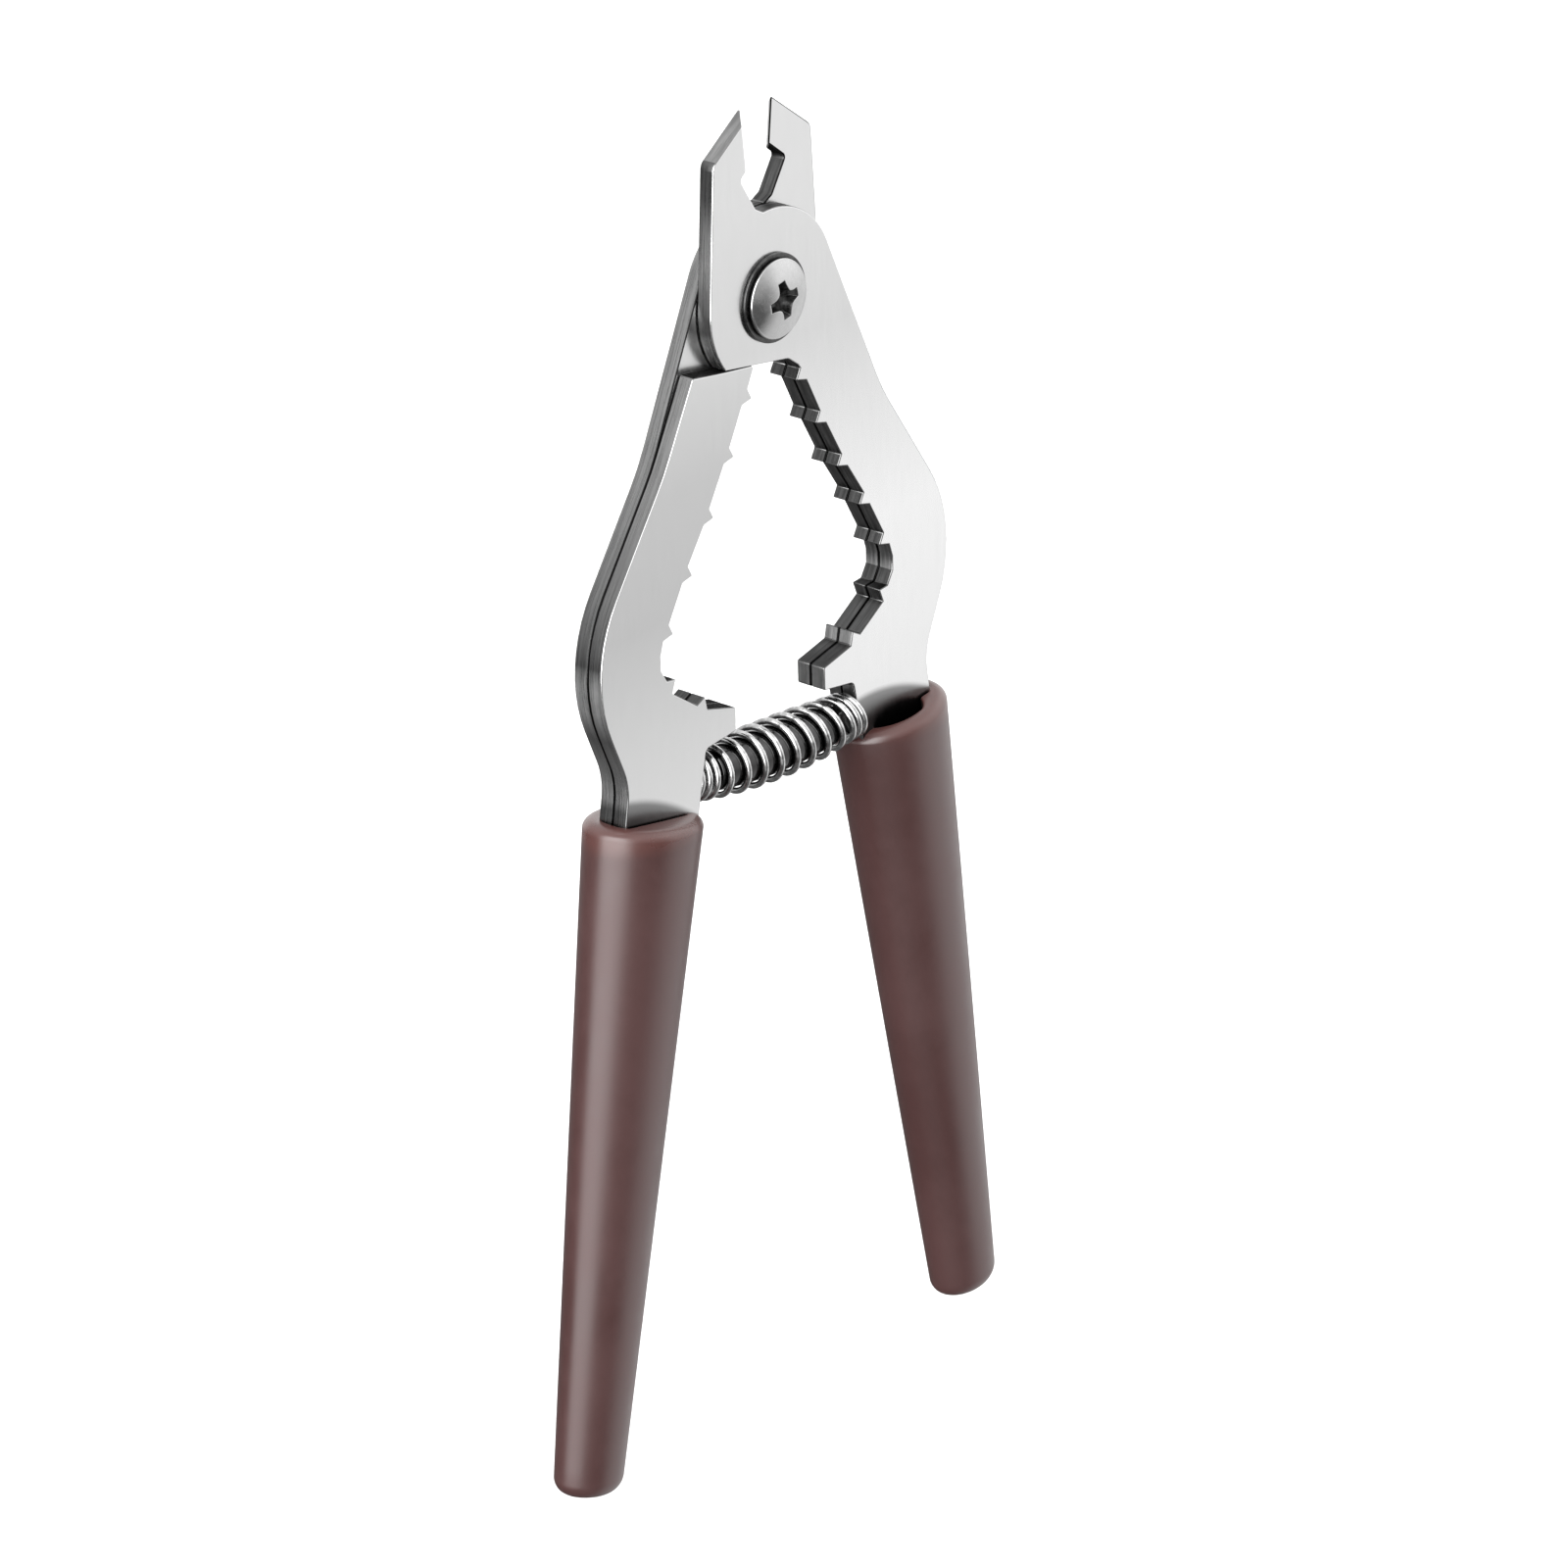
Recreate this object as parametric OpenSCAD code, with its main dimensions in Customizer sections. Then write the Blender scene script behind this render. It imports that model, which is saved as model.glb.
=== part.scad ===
// Spring-opened nutcracker: two arms of doubled sheet steel crossing at one screw.
// Frame: +X to the right, +Y to the back, +Z up towards the jaws, millimetres.
// The origin lies under the pivot, half way between the grip ends and level with their lowest points.

/* [Pivot] */

// radius of the round lobe of each long plate about the pivot
lobe_r = 11.3; // [11.1:0.1:12]
// shank radius of the pivot screw
screw_r = 3; // [2:0.1:3.2]
// radial running clearance of the plate that turns on the screw
pivot_clearance = 0.05; // [0.03:0.01:0.1]
// slip gap between the two crossing long plates
slip_gap = 0.1; // [0.06:0.01:0.3]
// radius of the screw head
head_r = 5.05; // [4.5:0.05:5.3]
// height of the screw head at its centre
head_h = 1.75; // [1.5:0.05:2.5]
// rotation of the cross recess about the screw axis, degrees
recess_turn = 12; // [0:1:90]

/* [Plates] */

// thickness of each long plate
plate_t = 2.2; // [1.8:0.1:2.6]
// width of the bevel along each jaw's cutting edge
bevel_w = 2.15; // [1:0.05:2.6]
// gap between the step of one arm and the lobe of the other when fully open
stop_gap = 0.12; // [0.08:0.01:0.4]
// reach of each tooth from its root
tooth_h = 1.6; // [0.8:0.1:1.8]

/* [Jaws] */

// height of the cutting tips above the pivot
jaw_tip_z = 24.35; // [22:0.05:28]
// distance of each cutting tip from the centre line
jaw_tip_x = 3; // [2.6:0.1:4]
// distance of the back of the jaw from the centre line
jaw_back_x = 10.2; // [9.6:0.1:10.8]

/* [Grips] */

// angle of each grip from the vertical, degrees
splay = 9; // [7:0.1:10]
// distance of the grip's top centre from the centre line
grip_x = 23.4; // [23:0.1:24]
// depth of the grip's shoulder below the pivot
grip_z = 62.9; // [62:0.1:64]
// length of each grip below its shoulder
grip_l = 88; // [75:1:110]
// half width of the grip at its shoulder, across the tool
grip_top_r = 8.6; // [8.4:0.1:9.4]
// half width of the grip at its lower end, across the tool
grip_end_r = 5.1; // [5:0.1:7]
// depth of the grip as a share of its width
grip_oval = 0.756; // [0.72:0.002:0.9]
// height of the rounded lip above the shoulder
lip_h = 1.3; // [0.8:0.1:1.8]
// radius of the half-round hollow beside the tang in the mouth of the grip
mouth_r = 5; // [4.6:0.1:5.6]
// depth of the hollow
mouth_depth = 9; // [4:1:14]
// length of the steel tang inside the grip
tang_l = 56; // [30:1:60]

/* [Spring] */

// wire diameter
wire_d = 0.85; // [0.6:0.05:0.95]
// mean coil radius at the two ends
coil_end_r = 2.6; // [2.55:0.05:2.8]
// mean coil radius half way
coil_mid_r = 3.65; // [2.8:0.05:4]
// number of turns
turns = 13.5; // [11:0.5:15]
// pitch of the closed end turns
closed_pitch = 1.1; // [1:0.05:1.4]
// depth of the spring's middle below the pivot
spring_z = 60.3; // [60:0.1:60.6]
// length of the tab that each spring end sits on
tab_l = 4.6; // [3:0.1:5.2]
// width of the tab
tab_w = 3.3; // [2:0.1:3.4]

/* [Hidden] */

$fn = 96;

face_y = slip_gap / 2 + plate_t;   // outer faces of both arms
washer_t = 0.5;
nut_play = 0.05;
nut_h = 3.55;
end_round = 2.2;
mouth_off = -0.9;                  // the hollow is centred on the tang
tang_in = -7.6;                    // tang edges beside the grip axis, above the mouth
tang_out = 5.75;
tang_r = 4.3;                      // half width of the tang inside the grip
spring_half = 14.82;               // half the length of the spring
spring_bow = 0.6;                  // how much lower its middle hangs than its ends
tab_lean = 4.6;                    // the tab follows the spring's bow
end_lean = 0.2;                    // the end turns lie flat against the leaning arms
edge_land = 0.1;                   // flat left on the cutting edge
end_r = grip_end_r - end_round;
pivot_z = grip_z + (grip_l - end_round) * cos(splay) + end_r * sin(splay) + end_round;

// ---------- plane geometry ----------

function dir(a) = [cos(a), sin(a)];
function unit(v) = v / norm(v);
function arc(c, r, a0, a1, n = 16) = [for (i = [0:n]) c + r * dir(a0 + (a1 - a0) * i / n)];
function turn(a, b) = let (d = atan2(b[1], b[0]) - atan2(a[1], a[0])) d > 180 ? d - 360 : d < -180 ? d + 360 : d;

// the round of radius r at corner q between its neighbours p and s
function fillet(p, q, s, r) =
    let (u = unit(p - q), v = unit(s - q), h = acos(u * v) / 2,
        c = q + unit(u + v) * r / sin(h), from = q + u * r / tan(h) - c, to = q + v * r / tan(h) - c,
        a = atan2(from[1], from[0]), n = max(2, ceil(abs(turn(from, to)) / (r < 1 ? 18 : 6))))
    [for (i = [0:n]) c + r * dir(a + turn(from, to) * i / n)];

// corners are [x, z, radius]; each one with a radius is rounded
function rounded(k) = let (n = len(k), p = [for (c = k) [c[0], c[1]]])
    [for (i = [0:n - 1]) each (len(k[i]) < 3 || k[i][2] == 0 ? [p[i]]
        : fillet(p[(i + n - 1) % n], p[i], p[(i + 1) % n], k[i][2]))];

// a tooth is its tip and the way it leans: a long root above it and a short one below
function tooth(x, z, lean) = [for (s = [[1, 37.5], [0, 0], [1.17, -37.5]])
    [x, z] + s[0] * tooth_h * dir(lean + s[1])];

// a point beside the grip axis: across it, and down it from the shoulder
function on_grip(across, down) = [grip_x, -grip_z]
    + across * dir(splay) + down * [sin(splay), -cos(splay)];
function corner(p, r) = [p[0], p[1], r];

// ---------- outlines of the right arm, seen from the front, about the pivot ----------

teeth = [tooth(4.1, -11.9, 24.5), tooth(7.6, -18.5, 24.5), tooth(11.5, -25.3, 24.5),
    tooth(15.6, -31.6, 24.5), tooth(19.3, -38.1, 24.5)];
bowl_teeth = [tooth(19.1, -44.1, -31), tooth(13.9, -48.1, -65)];
bowl_wall = [[21.7, -40.3], [21.7, -42.2]];
beak = [[8.3, -51.3, 0.3], [8.35, -54.4, 0.3], [13.9, -55.1, 0.8]];

inner_edge = concat([for (t = teeth) each t], bowl_wall, [for (t = bowl_teeth) each t]);
tang = concat([on_grip(tang_in, 6), on_grip(-tang_r, 6), on_grip(-tang_r, tang_l - 2),
    on_grip(-tang_r + 2, tang_l), on_grip(tang_r - 2, tang_l), on_grip(tang_r, tang_l - 2),
    on_grip(tang_r, 6), on_grip(tang_out, 6)]);
outer_edge = [corner([28, -55.4], 9), corner([34.9, -39.1], 18.5), corner([20.2, -17.3], 30)];

step_in = [3.6, -7.65];
step_out = [14.7, -6.35];
step_round = [8.8, -7.1];

below_step = rounded(concat(inner_edge, beak, tang, outer_edge,
    [step_out - [0, stop_gap], step_round - [0, stop_gap], corner(step_in - [0, stop_gap], 0.4)]));

lobe_tangent = 25;
jaw_edge_low = [-2.4, 18.5];
jaw_tip = [-jaw_tip_x, jaw_tip_z];
jaw_back = [-jaw_back_x, jaw_tip_z - 5.25];
lobe_low = [-8.8, -7.1];
jaw = [[-1.9, 11.5], corner([-2.75, 11.95], 0.6), corner([-5.4, 16.2], 0.6), jaw_edge_low,
    corner(jaw_tip, 0.25), corner(jaw_back, 1.4)];

long_outline = rounded(concat(inner_edge, beak, tang, outer_edge,
    arc([0, 0], lobe_r, lobe_tangent, 97), jaw,
    arc([0, 0], lobe_r, 178, atan2(lobe_low[1], lobe_low[0]) + 360, 10),
    [corner([2.7, -8.65], 1.2), [4.45, -9.95]]));

// ---------- solids ----------

// a flat plate with this outline between two depths
module plate(outline, y0, y1) {
    translate([0, y1, pivot_z]) rotate([90, 0, 0]) linear_extrude(y1 - y0) polygon(outline);
}

module pivot_bore(r, y0, y1) {
    translate([0, y1 + 1, pivot_z]) rotate([90, 0, 0]) cylinder(r = r, h = y1 - y0 + 2);
}

// takes the front corner off the cutting edge, down to the slip face
module cutting_bevel() {
    way = unit(jaw_tip - jaw_edge_low);
    lean = atan2(way[0], way[1]);
    translate([jaw_edge_low[0], 0, pivot_z + jaw_edge_low[1]]) rotate([0, lean, 0])
        translate([0, 0, -1.6]) linear_extrude(12)
            polygon([[0.5, -slip_gap / 2 - edge_land], [0.5, -face_y - plate_t],
                [-2 * bevel_w, -face_y - plate_t], [0, -slip_gap / 2 - edge_land]]);
}

// the tab that holds one end of the spring
module spring_tab(y0, y1) {
    translate([spring_half + 0.1, 0, pivot_z - spring_z + spring_bow]) rotate([0, -tab_lean, 0])
        translate([-tab_l, y0, -tab_w / 2]) cube([tab_l + 1.2, y1 - y0, tab_w]);
}

// a long plate as the right arm has it at the front: lobe, jaw, body and tang
module long_plate(bore) {
    difference() {
        union() {
            plate(long_outline, -face_y, -slip_gap / 2);
            spring_tab(-face_y, -slip_gap / 2);
        }
        pivot_bore(bore, -face_y, -slip_gap / 2);
        cutting_bevel();
    }
}

module front_jaw_plate() {
    color([0.78, 0.78, 0.77]) long_plate(screw_r + 0.01);
}

module rear_jaw_plate() {
    color([0.74, 0.74, 0.73]) rotate([0, 0, 180]) long_plate(screw_r + pivot_clearance);
}

module right_backing_plate() {
    color([0.72, 0.72, 0.71]) plate(below_step, -slip_gap / 2, face_y);
}

module left_facing_plate() {
    color([0.76, 0.76, 0.75]) rotate([0, 0, 180]) plate(below_step, -slip_gap / 2, face_y);
}

// outline of half a grip across the tool, from its lower end up to the mouth: end, taper and lip
grip_profile = concat(
    arc([end_r, -grip_l + end_round], end_round, -90, -4, 6),
    [for (a = [0:15:90]) [grip_top_r - 1.9 + 1.9 * cos(a), lip_h * sin(a)]]);

// a closed solid with oval rings of this profile
module oval_solid(profile, oval, sides = 56) {
    n = len(profile);
    polyhedron(
        [for (q = profile, j = [0:sides - 1]) let (a = 360 * j / sides) [q[0] * cos(a), q[0] * oval * sin(a), q[1]]],
        concat([[for (j = [0:sides - 1]) j]],
            [for (i = [0:n - 2], j = [0:sides - 1]) let (k = (j + 1) % sides)
                [i * sides + j, (i + 1) * sides + j, (i + 1) * sides + k, i * sides + k]],
            [[for (j = [sides - 1:-1:0]) (n - 1) * sides + j]]));
}

module grip() {
    difference() {
        oval_solid(grip_profile, grip_oval);
        intersection() {
            translate([mouth_off, 0, -mouth_depth]) cylinder(r = mouth_r, h = mouth_depth + lip_h + 1);
            translate([-20, -20, -20]) cube([40, 20 + face_y, 40]);
        }
        translate([tang_in - 0.4, -face_y, -6.1]) cube([tang_out - tang_in + 0.6, 2 * face_y, 12]);
        translate([-tang_r, -face_y, -tang_l - 0.2]) cube([2 * tang_r, 2 * face_y, tang_l]);
    }
}

module right_grip() {
    color([0.33, 0.25, 0.24]) translate([grip_x, 0, pivot_z - grip_z]) rotate([0, -splay, 0]) grip();
}

module left_grip() {
    color([0.33, 0.25, 0.24]) rotate([0, 0, 180])
        translate([grip_x, 0, pivot_z - grip_z]) rotate([0, -splay, 0]) grip();
}

// places a piece whose axis is its own Z on the pivot axis, pointing to the front
module on_pivot(y) {
    translate([0, y, pivot_z]) rotate([90, 0, 0]) children();
}

rim_h = 0.55;
dome_r = (head_r * head_r + pow(head_h - rim_h, 2)) / (2 * (head_h - rim_h));
dome_a = asin(head_r / dome_r);
shank_l = washer_t + 2 * face_y + nut_play + washer_t + nut_h + 0.1;

module cross_recess() {
    rotate([0, 0, recess_turn]) difference() {
        union() {
            for (a = [0, 90]) rotate([0, 0, a]) translate([-2.4, -0.4, 0.45]) cube([4.8, 0.8, 3]);
            translate([0, 0, 0.45]) cylinder(r = 1.3, h = 3);
            translate([0, 0, 0]) cylinder(r1 = 0.4, r2 = 1.3, h = 0.46);
        }
    }
}

module pivot_screw() {
    color([0.55, 0.55, 0.54]) on_pivot(-face_y - washer_t) difference() {
        rotate_extrude() polygon(concat(
            [[0, -shank_l], [screw_r - 0.4, -shank_l], [screw_r, -shank_l + 0.4], [screw_r, 0],
                [head_r - 0.35, 0], [head_r, 0.35]],
            [for (i = [0:14]) let (a = dome_a * (1 - i / 14))
                [dome_r * sin(a), rim_h + dome_r * (cos(a) - cos(dome_a))]]));
        cross_recess();
    }
}

module washer(r_out, r_in) {
    rotate_extrude() polygon([[r_in, 0], [r_out - 0.15, 0], [r_out, 0.15], [r_out, washer_t], [r_in, washer_t]]);
}

module head_washer() {
    color([0.62, 0.62, 0.6]) on_pivot(-face_y) washer(head_r + 0.6, screw_r);
}

module rear_washer() {
    color([0.62, 0.62, 0.6]) on_pivot(face_y + nut_play + washer_t) washer(head_r + 0.6, screw_r);
}

// hexagon nut with a turned collar that is rolled over the ring
module lock_nut() {
    color([0.6, 0.6, 0.59]) on_pivot(face_y + nut_play + washer_t) rotate([180, 0, 0]) difference() {
        union() {
            intersection() {
                cylinder(r = 10 / sqrt(3), h = 2.5, $fn = 6);
                union() {
                    cylinder(r1 = 5.35, r2 = 5.75, h = 0.4);
                    translate([0, 0, 0.4]) cylinder(r = 5.78, h = 1.7);
                    translate([0, 0, 2.1]) cylinder(r1 = 5.78, r2 = 5.1, h = 0.4);
                }
            }
            cylinder(r = 4.75, h = nut_h - 0.3);
            translate([0, 0, nut_h - 0.3]) cylinder(r1 = 4.75, r2 = 4.45, h = 0.3);
        }
        translate([0, 0, -1]) cylinder(r = screw_r, h = 6);
        translate([0, 0, 2.35]) cylinder(r = 4.25, h = 0.95);
        translate([0, 0, 2.35]) cylinder(r = 3.9, h = 2);
    }
}

module lock_nut_ring() {
    color([0.86, 0.88, 0.9]) on_pivot(face_y + nut_play + washer_t) rotate([180, 0, 0])
        translate([0, 0, 2.35]) difference() {
            cylinder(r = 4.25, h = 0.95);
            translate([0, 0, -1]) cylinder(r = screw_r, h = 3);
        }
}

// ---------- spring ----------

// the pitch eases from closed end turns to the open middle; s is the share of the turns, 0 to 1
open_share = 0.62;
function ease(t) = t <= 0 ? 0 : t >= 1 ? t - 0.5 : t * t * t - t * t * t * t / 2;
rise = 0.16;
function opened(s) = rise * (ease((s - (0.5 - open_share / 2 - rise / 2)) / rise)
    - ease((s - (0.5 + open_share / 2 - rise / 2)) / rise));
function coil_x(s) = let (free = 2 * spring_half - wire_d - closed_pitch * turns)
    -spring_half + wire_d / 2 + closed_pitch * turns * s + free * opened(s) / opened(1);
function coil_r(x) = coil_end_r + (coil_mid_r - coil_end_r) * (1 - pow(abs(x) / spring_half, 2.2));
function coil_point(s) = let (x = coil_x(s), a = 360 * turns * s + 90, r = coil_r(x), k = x / spring_half)
    [x - end_lean * k * r * sin(a), -(slip_gap + plate_t) / 2 * k + r * cos(a),
        pivot_z - spring_z + spring_bow * k * k + r * sin(a)];

module return_spring() {
    steps = ceil(turns * 16);
    sides = 8;
    p = [for (i = [0:steps]) coil_point(i / steps)];
    rings = [for (i = [0:steps]) let (
        t = unit(p[min(i + 1, steps)] - p[max(i - 1, 0)]),
        u = unit(cross(t, cross([1, 0, 0], t))), v = cross(t, u))
        for (j = [0:sides - 1]) p[i] + wire_d / 2 * (cos(360 * j / sides) * u + sin(360 * j / sides) * v)];
    color([0.8, 0.8, 0.8]) polyhedron(rings, concat(
        [[for (j = [0:sides - 1]) j]],
        [for (i = [0:steps - 1], j = [0:sides - 1]) let (k = (j + 1) % sides)
            [i * sides + j, (i + 1) * sides + j, (i + 1) * sides + k, i * sides + k]],
        [[for (j = [sides - 1:-1:0]) steps * sides + j]]));
}

front_jaw_plate();
right_backing_plate();
right_grip();
pivot_screw();
head_washer();
rear_washer();
lock_nut();
lock_nut_ring();
return_spring();
rear_jaw_plate();
left_facing_plate();
left_grip();
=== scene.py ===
import math

import bmesh
import bpy
import numpy as np
from mathutils import Matrix, Vector


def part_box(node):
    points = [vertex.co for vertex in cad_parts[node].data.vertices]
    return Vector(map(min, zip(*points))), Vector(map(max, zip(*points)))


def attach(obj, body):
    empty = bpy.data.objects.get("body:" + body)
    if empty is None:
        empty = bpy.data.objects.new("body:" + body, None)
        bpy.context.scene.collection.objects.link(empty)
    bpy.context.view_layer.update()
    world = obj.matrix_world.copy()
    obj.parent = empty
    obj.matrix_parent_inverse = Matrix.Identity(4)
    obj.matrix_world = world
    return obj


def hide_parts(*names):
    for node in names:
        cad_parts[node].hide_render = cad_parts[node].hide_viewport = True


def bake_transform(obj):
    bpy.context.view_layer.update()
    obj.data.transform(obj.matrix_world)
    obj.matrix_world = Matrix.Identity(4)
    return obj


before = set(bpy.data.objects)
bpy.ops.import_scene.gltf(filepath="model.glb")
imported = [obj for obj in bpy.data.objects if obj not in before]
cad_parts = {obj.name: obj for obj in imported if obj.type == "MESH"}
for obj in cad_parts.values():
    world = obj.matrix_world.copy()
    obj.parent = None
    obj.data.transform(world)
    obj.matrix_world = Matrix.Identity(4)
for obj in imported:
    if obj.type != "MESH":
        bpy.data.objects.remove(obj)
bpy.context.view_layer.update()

mm = 0.001
pivotHeight = sum(corner.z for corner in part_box("pivot_screw")) / 2
print("frame loaded, pivot at", round(pivotHeight, 4))


# camera, floor and studio

cameraSettings = {
    "place": (-0.5838, -0.5226, 0.4184),
    "right": (0.65935, -0.75163, -0.01792),
    "up": (0.30504, 0.24565, 0.92011),
    "lens": 155.6,          # mm, on a 36 mm sensor
}

def makeCamera(s):
    data = bpy.data.cameras.new("camera")
    data.lens = s["lens"]
    data.sensor_width = 36
    data.clip_start, data.clip_end = 0.05, 20
    camera = bpy.data.objects.new("camera", data)
    right, up = Vector(s["right"]).normalized(), Vector(s["up"]).normalized()
    turn = Matrix((right, up, right.cross(up))).transposed()
    camera.matrix_world = Matrix.Translation(s["place"]) @ turn.to_4x4()
    bpy.context.collection.objects.link(camera)
    bpy.context.scene.camera = camera

makeCamera(cameraSettings)


# A node tree with short calls: add a node, set its inputs, join two sockets.
class Nodes:

    def __init__(self, tree):
        self.tree = tree

    def add(self, kind, inputs=None, **settings):
        node = self.tree.nodes.new(kind)
        for key, value in settings.items():
            setattr(node, key, value)
        for key, value in (inputs or {}).items():
            self.put(node.inputs[key], value)
        return node

    def put(self, socket, value):
        if isinstance(value, bpy.types.NodeSocket):
            self.tree.links.new(value, socket)
        else:
            socket.default_value = value

    def math(self, operation, a, b=0.0):
        return self.add("ShaderNodeMath", {0: a, 1: b}, operation=operation).outputs[0]

    def ramp(self, value, low, high, outLow=0.0, outHigh=1.0, smooth=True):
        return self.add("ShaderNodeMapRange", {"Value": value, "From Min": low, "From Max": high,
                                               "To Min": outLow, "To Max": outHigh},
                        interpolation_type="SMOOTHSTEP" if smooth else "LINEAR").outputs["Result"]

    def multiply(self, a, b):
        node = self.add("ShaderNodeVectorMath", operation="MULTIPLY")
        self.put(node.inputs[0], a)
        self.put(node.inputs[1], b)
        return node.outputs[0]

    def mix(self, share, a, b):
        node = self.add("ShaderNodeMix", data_type="RGBA")
        self.put(node.inputs[0], share)
        self.put(node.inputs[6], a)
        self.put(node.inputs[7], b)
        return node.outputs[2]


# each panel is a soft bright patch of the studio: its bearing and half width in degrees,
# the heights it reaches between as the sine of the elevation, and its strength
studioSettings = {
    "plain": (0.16, 0.75),      # the plain studio low down and high up
    "horizon": (-0.35, 0.15),   # the heights between which it brightens
    "panels": [
        {"bearing": -165, "half": 30, "soft": 16, "low": -0.30, "high": 0.8, "edge": 0.07, "strength": 5.0},
        {"bearing": -138, "half": 26, "soft": 16, "low": -0.62, "high": -0.36, "edge": 0.06, "strength": 0.42},
        {"bearing": -20, "half": 40, "soft": 16, "low": -0.9, "high": 0.7, "edge": 0.2, "strength": 0.95},
        {"bearing": 50, "half": 32, "soft": 20, "low": -0.32, "high": 0.4, "edge": 0.07, "strength": 0.7},
        {"bearing": 110, "half": 180, "soft": 1, "low": 0.5, "high": 2.0, "edge": 0.25, "strength": 0.6},
    ],
    "seen": 1.0,                # what the camera sees behind the floor
    "aim": (0, 0, 0.09),        # what the lamps point at
    "lamps": [
        {"name": "keyLamp", "place": (-0.55, -0.75, 0.95), "size": 0.7, "energy": 1.6},
        {"name": "fillLamp", "place": (0.8, -0.45, 0.7), "size": 0.8, "energy": 0.9},
        {"name": "topLamp", "place": (0.1, 0.25, 1.1), "size": 0.9, "energy": 2.2},
    ],
}

def makeStudio(s):
    world = bpy.data.worlds.new("studio")
    bpy.context.scene.world = world
    world.use_nodes = True
    world.node_tree.nodes.clear()
    n = Nodes(world.node_tree)
    way = n.add("ShaderNodeTexCoord").outputs["Generated"]
    parts = n.add("ShaderNodeSeparateXYZ", {0: way})
    level = n.add("ShaderNodeCombineXYZ", {0: parts.outputs[0], 1: parts.outputs[1]}).outputs[0]
    level = n.add("ShaderNodeVectorMath", {0: level}, operation="NORMALIZE").outputs[0]
    total = n.ramp(parts.outputs[2], *s["horizon"], *s["plain"])
    for p in s["panels"]:
        a = math.radians(p["bearing"])
        facing = n.add("ShaderNodeVectorMath", {0: level, 1: (math.cos(a), math.sin(a), 0)},
                       operation="DOT_PRODUCT").outputs["Value"]
        wide = 1.0
        if p["half"] < 180:
            wide = n.ramp(facing, math.cos(math.radians(p["half"] + p["soft"])),
                          math.cos(math.radians(p["half"] - p["soft"])))
        rise = n.ramp(parts.outputs[2], p["low"] - p["edge"], p["low"] + p["edge"])
        fall = n.ramp(parts.outputs[2], p["high"] - p["edge"], p["high"] + p["edge"], 1, 0)
        glow = n.math("MULTIPLY", n.math("MULTIPLY", rise, fall), n.math("MULTIPLY", wide, p["strength"]))
        total = n.math("ADD", total, glow)
    path = n.add("ShaderNodeLightPath").outputs["Is Camera Ray"]
    seen = n.add("ShaderNodeMix", {0: path}, data_type="FLOAT")
    n.put(seen.inputs[2], total)
    n.put(seen.inputs[3], s["seen"])
    back = n.add("ShaderNodeBackground", {"Color": (1, 1, 1, 1), "Strength": seen.outputs[0]})
    n.add("ShaderNodeOutputWorld", {"Surface": back.outputs[0]})
    for lamp in s["lamps"]:
        data = bpy.data.lights.new(lamp["name"], "AREA")
        data.shape, data.size, data.energy = "DISK", lamp["size"], lamp["energy"]
        light = bpy.data.objects.new(lamp["name"], data)
        light.location = lamp["place"]
        aim = Vector(s["aim"]) - light.location
        light.rotation_euler = aim.to_track_quat("-Z", "Y").to_euler()
        light.visible_glossy = False
        bpy.context.collection.objects.link(light)

makeStudio(studioSettings)


# the arms are held above the floor, just high enough for the turning arm's grip to pass over it
armReach = max(math.hypot(v.co.x, v.co.z - pivotHeight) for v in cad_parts["left_grip"].data.vertices)
floorHeight = pivotHeight - armReach

floorSettings = {"reach": 4.0, "colour": (0.78, 0.78, 0.78, 1)}

def makeFloor(s):
    r = s["reach"]
    mesh = bpy.data.meshes.new("floor")
    mesh.from_pydata([(-r, -r, floorHeight), (r, -r, floorHeight), (r, r, floorHeight), (-r, r, floorHeight)],
                     [], [(0, 1, 2, 3)])
    floor = bpy.data.objects.new("floor", mesh)
    bpy.context.collection.objects.link(floor)
    floor.visible_glossy = False          # the steel mirrors the studio, not the floor
    material = bpy.data.materials.new("paleFloor")
    material.use_nodes = True
    shader = material.node_tree.nodes["Principled BSDF"]
    shader.inputs["Base Color"].default_value = s["colour"]
    shader.inputs["Roughness"].default_value = 1
    shader.inputs["Specular IOR Level"].default_value = 0
    mesh.materials.append(material)

makeFloor(floorSettings)
bpy.context.scene.view_settings.view_transform = "Standard"
print("camera, studio and floor made, floor at", round(floorHeight, 4))


# effects that several finishes share

def newGroup(name, inputs, outputs):
    group = bpy.data.node_groups.new(name, "ShaderNodeTree")
    for label, kind, value in inputs:
        socket = group.interface.new_socket(label, in_out="INPUT", socket_type=kind)
        if value is not None:
            socket.default_value = value
    for label, kind in outputs:
        group.interface.new_socket(label, in_out="OUTPUT", socket_type=kind)
    n = Nodes(group)
    return group, n, n.add("NodeGroupInput").outputs, n.add("NodeGroupOutput")

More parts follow.
